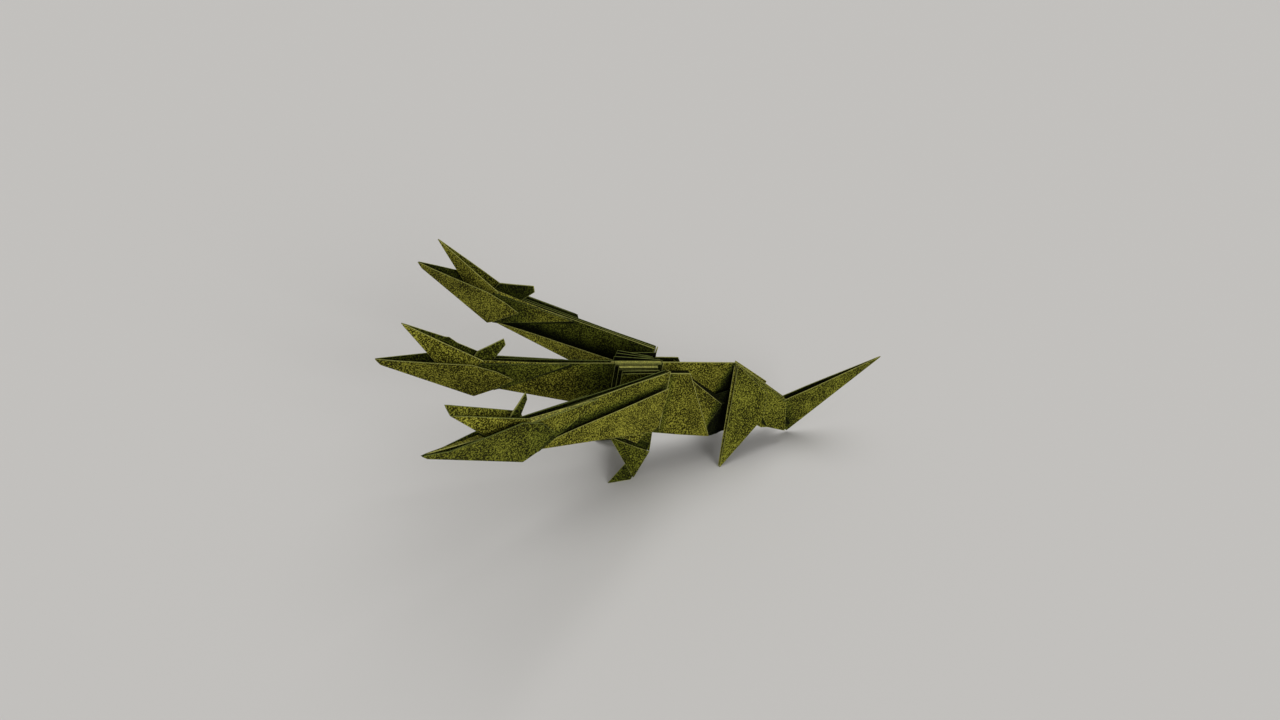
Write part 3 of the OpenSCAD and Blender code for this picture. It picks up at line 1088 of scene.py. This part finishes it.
@dataclass(frozen=True)
class FrontLeg:
    """A front leg of the left side, in mm."""

    toe_x: float = 16.2
    foot_len: float = 5.8
    track: float = 8.6
    shin_share: float = 0.34
    bow: float = 0.25
    # Painted shade: the leg and the foot are darker than plain paper, and the inner layer's edges darker
    # still.
    leg_painted_shade: float = 0.6
    foot_painted_shade: float = 0.4
    inner_rim: float = 0.3

    def panels(self) -> list[Panel]:
        """Shoulder, thigh, small flap, the two walls of the leg and the folded foot.

        Returns:
            The facets, from the top down.
        """
        p, half, side = PLAN.on_body, PLAN.body_half, PLAN.body_half - 0.1
        shoulder = [p(-0.8, side, -9.0), p(10.5, side, -12.0), p(12.6, side, -18.2), p(0.6, side, -17.8)]
        thigh_top = [p(12.0, side, -17.4), p(0.85, side, -17.6)]
        thigh_low = [p(0.75, side + 0.5, -23.5), p(2.6, side + 0.4, -21.7), p(11.7, side + 0.05, -18.3)]
        flap = [p(11.0, side + 0.35, -17.6), p(2.4, side + 0.3, -16.8), p(4.7, half + 0.9, -20.4)]
        top_front, top_rear = p(11.6, half + 0.35, -18.95), p(1.2, half + 1.6, -22.7)
        ankle = point(self.toe_x - self.foot_len - 0.9, self.track - 0.5, 0.0)
        inner_top = [top_front + point(-0.4, -1.0, 1.9), top_rear + point(-0.5, -1.2, 1.6)]
        inner = [*inner_top, ankle + point(0, -0.2, 0.1)]
        shin = along(ankle, top_front, self.shin_share) + point(0, -0.15, 0)
        toe = point(self.toe_x, self.track + 0.1, 0.1)
        heel = point(ankle[0] + 0.9, self.track + 0.1, 0.1)
        inner_heel = point(ankle[0] + 0.2, self.track - 0.9, 0.1)
        foot = [shin, toe, heel, ankle + point(0.4, -0.1, 0.1)]
        return [
            Panel(shoulder),
            Panel(thigh_top + thigh_low, free=(1, 2, 3), tone=self.leg_painted_shade),
            Panel(flap, free=(1, 2)),
            Panel([top_front, top_rear, ankle], bow=(0, self.bow, 0), free=(0,), tone=self.leg_painted_shade),
            Panel(inner, inside=(0, 1, 0), rim=self.inner_rim),
            Panel(foot, free=(1,), tone=self.foot_painted_shade),
            Panel([shin, toe, inner_heel], free=(1,), tone=self.foot_painted_shade),
        ]


@dataclass(frozen=True)
class Rump:
    """The tent behind the back, with the hind legs and the tail, in mm."""

    hind_x: float = 13.2
    track: float = 9.7
    tail_tip_h: float = 20.7
    tail_low_h: float = 0.5
    tail_bow: float = 0.2
    leg_lift: float = 0.55
    notch_lift: float = 1.4
    inner_back: float = 0.3
    inner_ahead: float = 0.25
    step_share: float = 0.6
    # Painted shade: the cap's edges, the slope, the leg and the tail are darker than plain paper, the
    # undersides and the cap darker still, and the notch and the slit are dark sheets where there is only
    # shade.
    cap_rim: float = 0.3
    tone: float = 0.82
    under_painted_shade: float = 0.4
    slit_painted_shade: float = 0.1

    def slope(self) -> list[Panel]:
        """The left slope of the rump and the two layers of the hind leg that lie on it.

        Returns:
            The slope, the outer and the inner layer of the leg and the notch, a dark sheet of painted shade.
        """
        top = PLAN.on_body(-PLAN.back_len, 0.3, 0.1)
        foot = point(-self.hind_x, self.track, 0.05)
        root = point(0.2 - PLAN.tail_root_x, 0.7, PLAN.tail_root_h)

        def at(i: float, j: float) -> np.ndarray:
            """The point of the slope at those shares toward the foot and the tail root."""
            return in_plane(top, foot, root, i, j)

        under, dark = (0, -1, -1), self.under_painted_shade
        rump = [top, at(0.44, 0.09), at(0.4, 0.62), at(0.36, 0.73), at(0.285, 1.06), root]
        out = np.cross(foot - top, root - top)
        out = out / np.linalg.norm(out) * math.copysign(self.leg_lift, out[1])
        leg_rear = [at(i, j) + out for i, j in ((0.41, 0.51), (0.33, 0.6), (0.07, 0.6))]
        leg = [at(0.01, 0.02) + out, foot, *leg_rear]
        inner_foot = foot + point(self.inner_ahead, -0.1, 0)
        inner_leg = [at(0.02, -0.008), inner_foot, at(0.95, 0.02), at(0.42, 0.4), at(0.2, 0.4)]
        notch = [at(i, j) + self.notch_lift * out for i, j in ((0.314, 0.578), (0.366, 0.69), (0.36, 0.6))]
        return [
            Panel(rump, free=(1, 2, 3), inside=under, reverse=dark, tone=self.tone),
            Panel(leg, free=(0, 1, 2, 3, 4), inside=under, tone=self.tone),
            Panel(inner_leg, free=(0, 1), lift=-self.inner_back, inside=under, reverse=dark),
            Panel(notch, tone=self.slit_painted_shade, rim=self.slit_painted_shade),
        ]

    def ridge(self) -> list[Panel]:
        """The strip that stands up along the right side of the rump's ridge and ends in a square step.

        Returns:
            The strip, and the cap that closes the ridge under it, darkened with painted shade.
        """
        top = PLAN.on_body(-PLAN.back_len, -0.45, 0.1)
        root = point(0.2 - PLAN.tail_root_x, -0.9, PLAN.tail_root_h)
        step = along(top, root, self.step_share)
        up = point(-0.3, -0.05, 0.5)
        cap = [q - 0.8 * up for q in (top, root, mirrored(root), mirrored(top))]
        return [
            Panel([top + 0.4 * up, step + up, step - up, top - up], free=(0, 1)),
            Panel(cap, tone=self.under_painted_shade, rim=self.cap_rim),
        ]

    def tail(self) -> list[Panel]:
        """The left wall of the tail's open trough, with the dark slit of painted shade at its root.

        Returns:
            The wall and the slit.
        """
        rear = -PLAN.tail_root_x
        tip = point(-PLAN.tail_tip_x, 0.08, self.tail_tip_h)
        low = point(rear - 1.4, 0.06, self.tail_low_h)
        top = point(rear + 0.8, 0.95, PLAN.tail_root_h + 0.2)
        held_low, held_top = low + point(3.0, 0.2, 2.4), top + point(2.0, -0.2, -1.4)
        ring = [tip, low, held_low, held_top, top]
        # Painted shade on the tail, darker toward its root.
        painted_shade = Fade(point(rear - 0.3, 0, 5), point(rear - 3.6, 0, 6), 0.5)
        shares = ((0.57, 0.01), (0.83, 0.036), (0.78, 0.003))
        slit = [in_plane(top, low, tip, i, j) + point(0, 0.25, 0) for i, j in shares]
        bow, inside = (0, self.tail_bow, 0), (0, -1, 0)
        return [
            Panel(ring, bow=bow, free=(4,), inside=inside, tone=self.tone, painted_shades=[painted_shade]),
            Panel(slit, tone=self.slit_painted_shade, rim=self.slit_painted_shade),
        ]


class Value:
    """A shader socket that can be used in Python expressions."""

    def __init__(self, shader: "Shader", socket: Any) -> None:
        """Keeps the socket and the shader that it belongs to."""
        self.shader = shader
        self.socket = socket

    def _math(self, operation: str, a: Any, b: Any) -> "Value":
        """Adds a Math node."""
        return self.shader.node("ShaderNodeMath", {"operation": operation}, {0: a, 1: b})

    def __add__(self, other: Any) -> "Value":
        """self + other."""
        return self._math("ADD", self, other)

    __radd__ = __add__

    def __mul__(self, other: Any) -> "Value":
        """self * other."""
        return self._math("MULTIPLY", self, other)

    __rmul__ = __mul__

    def __sub__(self, other: Any) -> "Value":
        """self - other."""
        return self._math("SUBTRACT", self, other)

    def __rsub__(self, other: Any) -> "Value":
        """other - self."""
        return self._math("SUBTRACT", other, self)


class Shader:
    """Builds a material's nodes."""

    def __init__(self, owner: bpy.types.ID) -> None:
        """Starts the nodes of a new material or world.

        Args:
            owner: the material or world.
        """
        owner.use_nodes = True
        self.owner = owner
        self.tree = owner.node_tree
        self.tree.nodes.clear()

    def node(self, kind: str, settings: dict[str, Any], inputs: dict[Any, Any], output: Any = 0) -> Value:
        """Adds one node.

        Args:
            kind: the node's type.
            settings: its properties, set first; stops is a colour ramp's list of place and colour.
            inputs: values or links of its sockets, by name or index.
            output: the socket to return.

        Returns:
            The output socket.
        """
        made = self.tree.nodes.new(kind)
        for key, value in settings.items():
            if key == "stops":
                self._set_stops(made.color_ramp, value)
            else:
                setattr(made, key, value)
        for key, value in inputs.items():
            if isinstance(value, Value):
                self.tree.links.new(value.socket, made.inputs[key])
            else:
                made.inputs[key].default_value = value
        return Value(self, made.outputs[output])

    @staticmethod
    def _set_stops(ramp: Any, stops: Sequence[tuple[float, Sequence[float]]]) -> None:
        """Sets a colour ramp's stops.

        Args:
            ramp: the colour ramp.
            stops: place and colour of each stop.
        """
        while len(ramp.elements) < len(stops):
            ramp.elements.new(1.0)
        for element, (place, colour) in zip(ramp.elements, stops):
            element.position = place
            element.color = (*colour, 1.0)

    def mix(self, factor: Any, a: Any, b: Any) -> Value:
        """Mixes two colours."""
        settings = {"data_type": "RGBA", "clamp_factor": True}
        return self.node("ShaderNodeMix", settings, {0: factor, 6: a, 7: b}, 2)

    def end(self, shader: Value, kind: str = "ShaderNodeOutputMaterial") -> Any:
        """Ends the nodes with that shader.

        Args:
            shader: the shader to show.
            kind: the type of the output node.

        Returns:
            The material or world.
        """
        out = self.tree.nodes.new(kind)
        self.tree.links.new(shader.socket, out.inputs["Surface"])
        return self.owner


@dataclass(frozen=True)
class PaperFinish:
    """Dark olive green paper with a speckle of pale and dark fibres; lengths in mm.

    The colours run from dark to pale with the grain, where the mixed grain reaches the three stops.
    """

    dark: tuple[float, float, float] = (0.010, 0.0095, 0.001)
    plain: tuple[float, float, float] = (0.056, 0.054, 0.004)
    pale: tuple[float, float, float] = (0.284, 0.274, 0.034)
    stops: tuple[float, float, float] = (0.432, 0.5, 0.586)
    # Pale edge colour: the lighter paper of cut and rubbed edges, and painted highlight where it is mixed
    # into flat sides.
    edge: tuple[float, float, float] = (0.280, 0.276, 0.075)
    edge_base: float = 0.3
    # Painted shade: the greener tint that shaded facets take.
    shade: tuple[float, float, float] = (0.84, 1.12, 0.84)
    speckle: float = 0.33
    speckle_share: float = 0.6
    fleck: float = 0.2
    fleck_share: float = 0.25
    cloud: float = 6.0
    cloud_share: float = 0.15
    roughness: float = 0.9
    rough_spread: float = 0.2
    bump: float = 0.4
    bump_depth: float = 0.05
    shine: float = 0.06

    def make(self) -> bpy.types.Material:
        """Builds the material.

        Returns:
            The paper material.
        """
        nodes = Shader(bpy.data.materials.new("olive_paper"))
        place = nodes.node("ShaderNodeTexCoord", {}, {}, "Object")
        mm = nodes.node("ShaderNodeVectorMath", {"operation": "SCALE"}, {0: place, "Scale": 1 / MM})

        def grain(size: float, detail: float) -> Value:
            """Noise of that grain size in mm."""
            return nodes.node("ShaderNodeTexNoise", {}, {"Vector": mm, "Scale": 1 / size, "Detail": detail})

        speckle = grain(self.speckle, 3.0)
        fleck = grain(self.fleck, 0.0)
        cloud = grain(self.cloud, 2.0)
        tone = speckle * self.speckle_share + fleck * self.fleck_share + cloud * self.cloud_share
        stops = tuple(zip(self.stops, (self.dark, self.plain, self.pale)))
        colour = nodes.node("ShaderNodeValToRGB", {"stops": stops}, {0: tone})
        # The pale edge colour on rims and rubbed folds, and painted highlight on lit flats.
        worn = nodes.node("ShaderNodeAttribute", {"attribute_name": "worn"}, {}, "Fac")
        colour = nodes.mix(worn * (speckle + self.edge_base), colour, (*self.edge, 1.0))
        # Painted light and shade: each point's tone tints shaded facets greener and scales the colour.
        facet = nodes.node("ShaderNodeAttribute", {"attribute_name": "tone"}, {}, "Fac")
        green = nodes.node("ShaderNodeVectorMath", {"operation": "MULTIPLY"}, {0: colour, 1: self.shade})
        colour = nodes.mix(1.0 - facet, colour, green)
        colour = nodes.node("ShaderNodeVectorMath", {"operation": "SCALE"}, {0: colour, "Scale": facet})
        rough = tone * self.rough_spread + (self.roughness - self.rough_spread / 2)
        relief = {"Strength": self.bump, "Distance": self.bump_depth * MM, "Height": tone}
        bump = nodes.node("ShaderNodeBump", {}, relief)
        sockets = {"Base Color": colour, "Roughness": rough, "Normal": bump, "Specular IOR Level": self.shine}
        return nodes.end(nodes.node("ShaderNodeBsdfPrincipled", {}, sockets))


@dataclass(frozen=True)
class Lamp:
    """A wide soft light that is equally strong all over the floor.

    Args:
        name: its name.
        toward: the direction in which it stands.
        level: how bright a white sheet that faces it becomes.
        softness: its width as seen from the figure, in degrees.
    """

    name: str
    toward: tuple[float, float, float]
    level: float
    softness: float

    def build(self) -> None:
        """Sets the light up."""
        data = bpy.data.lights.new(self.name, "SUN")
        data.energy, data.angle = math.pi * self.level, math.radians(self.softness)
        lamp = bpy.data.objects.new(self.name, data)
        lamp.location = self.toward
        lamp.rotation_euler = Vector(self.toward).to_track_quat("Z", "Y").to_euler()
        bpy.context.scene.collection.objects.link(lamp)


@dataclass(frozen=True)
class Studio:
    """Pale floor, soft light and the camera; lengths in m, angles in degrees, the aim in mm."""

    floor_rgb: tuple[float, float, float] = (0.63, 0.62, 0.605)
    floor_half: float = 3.0
    sky_rgb: tuple[float, float, float] = (1.0, 0.985, 0.96)
    sky_light: float = 0.34
    backdrop: float = 0.55
    lamps: tuple[Lamp, ...] = (
        Lamp("side", toward=(-0.75, 1.95, 0.5), level=0.55, softness=34.0),
        Lamp("top", toward=(-0.6, -0.8, 1.9), level=0.44, softness=45.0),
    )
    photo_width: int = 1280
    focal_px: float = 740.0
    sensor: float = 36.0
    azimuth: float = 166.0
    elevation: float = 33.0
    distance: float = 0.180
    aim_x: float = 5.7
    aim_z: float = 30.0
    clip_near: float = 0.005
    clip_far: float = 20.0

    def floor(self) -> None:
        """A wide plain floor."""
        h = self.floor_half
        mesh = bpy.data.meshes.new("floor")
        mesh.from_pydata([(-h, -h, 0), (h, -h, 0), (h, h, 0), (-h, h, 0)], [], [(0, 1, 2, 3)])
        floor = bpy.data.objects.new("floor", mesh)
        bpy.context.scene.collection.objects.link(floor)
        nodes = Shader(bpy.data.materials.new("pale_floor"))
        sockets = {"Base Color": (*self.floor_rgb, 1), "Roughness": 1.0, "Specular IOR Level": 0.0}
        floor.data.materials.append(nodes.end(nodes.node("ShaderNodeBsdfPrincipled", {}, sockets)))

    def world(self) -> None:
        """Even light from all round, and a pale background where the world itself is seen."""
        nodes = Shader(bpy.data.worlds.new("studio"))
        rays = ("Is Camera Ray", "Is Glossy Ray", "Is Transmission Ray")
        seen = sum(nodes.node("ShaderNodeLightPath", {}, {}, ray) for ray in rays)
        strength = seen * (self.backdrop - self.sky_light) + self.sky_light
        sky = nodes.node("ShaderNodeBackground", {}, {"Color": (*self.sky_rgb, 1.0), "Strength": strength})
        bpy.context.scene.world = nodes.end(sky, "ShaderNodeOutputWorld")

    def camera(self) -> None:
        """The camera at the photograph's angle."""
        a, e = math.radians(self.azimuth), math.radians(self.elevation)
        back = Vector((math.sin(a) * math.cos(e), -math.cos(a) * math.cos(e), math.sin(e)))
        data = bpy.data.cameras.new("camera")
        data.sensor_fit, data.sensor_width = "HORIZONTAL", self.sensor
        data.lens = self.sensor * self.focal_px / self.photo_width
        data.clip_start, data.clip_end = self.clip_near, self.clip_far
        camera = bpy.data.objects.new("camera", data)
        aim = Vector(((self.aim_x - PLAN.centre_x) * MM, 0.0, self.aim_z * MM))
        camera.location = aim + back * self.distance
        camera.rotation_euler = back.to_track_quat("Z", "Y").to_euler()
        bpy.context.scene.collection.objects.link(camera)
        bpy.context.scene.camera = camera

    def build(self) -> None:
        """Sets the whole stage."""
        bpy.context.scene.view_settings.view_transform = "Standard"
        self.floor()
        self.world()
        for lamp in self.lamps:
            lamp.build()
        self.camera()


@dataclass(frozen=True)
class Hydra:
    """The whole folded sheet."""

    splay: float = 32.0
    side_rise: float = 11.8
    root_out: float = 0.5
    root_lift: float = 0.9

    def side_root(self, s: int) -> np.ndarray:
        """Root of the left neck for s 1 or of the right neck for s -1."""
        return point(0, s * (PLAN.body_half + self.root_out), PLAN.back_h + self.root_lift)

    def left_neck(self) -> Neck:
        """The left neck: a blunt snout, high cheeks and a pocket that lies tight against its outer side.

        Returns:
            The neck.
        """
        jaws = Jaws(
            chin_ahead=-0.6, chin_drop=9.9, nape_ahead=-3.7, nape_drop=7.8, hinge_back=6.5, hinge_drop=3.8,
            lip_drop=2.5, gape=25.4, snout_len=20.4, tip_v=-0.2, keel_ahead=5.8,
            lips_left=(-0.9, 0.0, 1.0), lips_right=(-1.2, -1.4, 0.0),
            # Painted light and shade of this head's walls, rear, mouth, trough, snout and edges.
            tone=0.75, rear_painted_shade=0.72, mouth_painted_shade=0.42, trough_painted_shade=0.87, snout_painted_light=1.3,
            rim=0.3, snout_rim=0.4,
        )
        horn = Horn(length=4.6, rise=54.0, ahead=3.0, rear_slope=0.39, tone=0.33)
        # Painted shade on the side and the wrap, darker toward the tight pocket's loose edge.
        pocket_shade = (NeckFade((16.0, -4.6), (16.06, -2.5), 0.18, 0.92),)
        return Neck(
            "left_neck", self.side_root(1), self.splay, self.side_rise, jaws, horn, wrap_len=18.8,
            left_pocket=Pocket.TIGHT, right_pocket=Pocket.OPEN, wall_painted_shades=pocket_shade,
            wrap_painted_shades=pocket_shade, wrap_rim=0.35, back_sink=0.8,
        )

    def middle_neck(self) -> Neck:
        """The middle neck: no pockets, and a small bump on the right side of its snout.

        Returns:
            The neck.
        """
        jaws = Jaws(
            chin_ahead=1.2, chin_drop=9.6, nape_ahead=-3.2, nape_drop=7.05, hinge_back=7.4, hinge_drop=3.8,
            # Painted light on the snout.
            bump=0.45, snout_len=19.7, gape=28.6, snout_painted_light=1.4,
        )
        horn = Horn(length=6.5, rise=32.0, ahead=0.8, rear_slope=0.62, tone=0.5)
        # Painted shade along the side, darker at the root and lighter toward the head; a painted shadow under
        # the wrap's rear edge; painted shade on the wrap behind the head.
        root_shade = NeckFade((14, -4), (27, -4), 0.36, 1.25)
        wrap_shadow = NeckFade((32, -3.7), (31.4, -5.2), 0.15, 0.95)
        head_shade = NeckFade((41.0, -1.3), (33.0, -0.7), 0.4, 0.6)
        return Neck(
            "middle_neck", point(0, 0, PLAN.back_h), 0.0, PLAN.back_pitch, jaws, horn, wrap_len=20.3,
            wall_painted_shades=(root_shade, wrap_shadow), wrap_painted_shades=(head_shade,),
            back_end_sink=0.9, strip=0.5, strip_painted_highlight=0.0,
        )

    def right_neck(self) -> Neck:
        """The right neck: a deeper chin, a flatter horn and a pocket that stands open toward the middle.

        Returns:
            The neck.
        """
        jaws = Jaws(
            chin_ahead=2.6, chin_drop=10.7, nape_ahead=0.7, nape_drop=9.1, hinge_back=6.8, hinge_drop=2.7,
            # Painted shade of the trough's inner side, lighter than usual.
            reach=0.85, trough_painted_shade=0.745,
        )
        horn = Horn(length=9.7, rise=16.0, ahead=0.2, rear_slope=0.88, tone=0.2)
        # Painted shade: dark toward the open pocket, at the root and on the wrap behind the head.
        pocket_shade = NeckFade((25.0, -7.6), (25.0, -3.2), 0.04, 0.44)
        root_shade = NeckFade((3.0, -3.0), (17.0, -3.0), 0.5)
        head_shade = NeckFade((39.8, -1.6), (31.0, -1.0), 0.36, 0.9)
        return Neck(
            "right_neck", self.side_root(-1), -self.splay, self.side_rise, jaws, horn, wrap_len=21.3,
            # Painted light on the open pocket's wall, and darker painted shade on the inner edges.
            left_pocket=Pocket.OPEN, right_pocket=Pocket.TIGHT, open_pocket_painted_light=1.7,
            wall_painted_shades=(pocket_shade, root_shade), wrap_painted_shades=(head_shade,),
            inner_sink=0.35, inner_rim=0.75, strip=0.45, strip_painted_highlight=0.05,
        )

    def bodies(self) -> tuple[Body, Body]:
        """The left side of the body and the right one, which has darker painted shade and no rounded fold
        tops.

        Returns:
            The left side and the right side.
        """
        right = Body(
            # Painted shade: the right side's pleats, gaps and edges are darker.
            wall_drop=1.5, front_rise=(0.7, 1.3, 1.6), fold_width=(), pleat_painted_shade=0.06, gap_painted_shade=0.03,
            pleat_rim=0.45,
        )
        return Body(), right

    def build(self) -> bpy.types.Object:
        """Folds the sheet.

        Returns:
            The paper as one object.
        """
        sheet = PaperSheet()
        for neck in (self.left_neck(), self.middle_neck(), self.right_neck()):
            LOG.info("%s: %d facets", neck.name, sheet.add(neck.panels()))
        (left, right), rump = self.bodies(), Rump()
        made = sheet.add_both(left.back()) + sheet.add(left.pleats() + left.outer_wall())
        made += sheet.add(panel.mirror() for panel in right.pleats() + right.outer_wall())
        LOG.info("body: %d facets", made)
        LOG.info("front legs: %d facets", sheet.add_both(FrontLeg().panels()))
        LOG.info("rump and hind legs: %d facets", sheet.add_both(rump.slope()) + sheet.add(rump.ridge()))
        LOG.info("tail: %d facets", sheet.add_both(rump.tail()))
        return sheet.build("hydra_paper")

    def dress(self, piece: bpy.types.Object) -> None:
        """Gives the paper its finish and ties it to the part.

        Args:
            piece: the paper.
        """
        piece.data.materials.append(PaperFinish().make())
        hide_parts(NODE)
        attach(piece, BODY)


def write_size() -> None:
    """Brings the placements of all objects up to date."""
    bpy.context.view_layer.update()


def main() -> None:
    """Builds the stage and the folded sheet."""
    logging.basicConfig(level=logging.INFO, format="%(message)s")
    Studio().build()
    hydra = Hydra()
    piece = hydra.build()
    hydra.dress(piece)
    LOG.info("%s: %d faces", piece.name, len(piece.data.polygons))
    write_size()


if __name__ == "__main__":
    main()
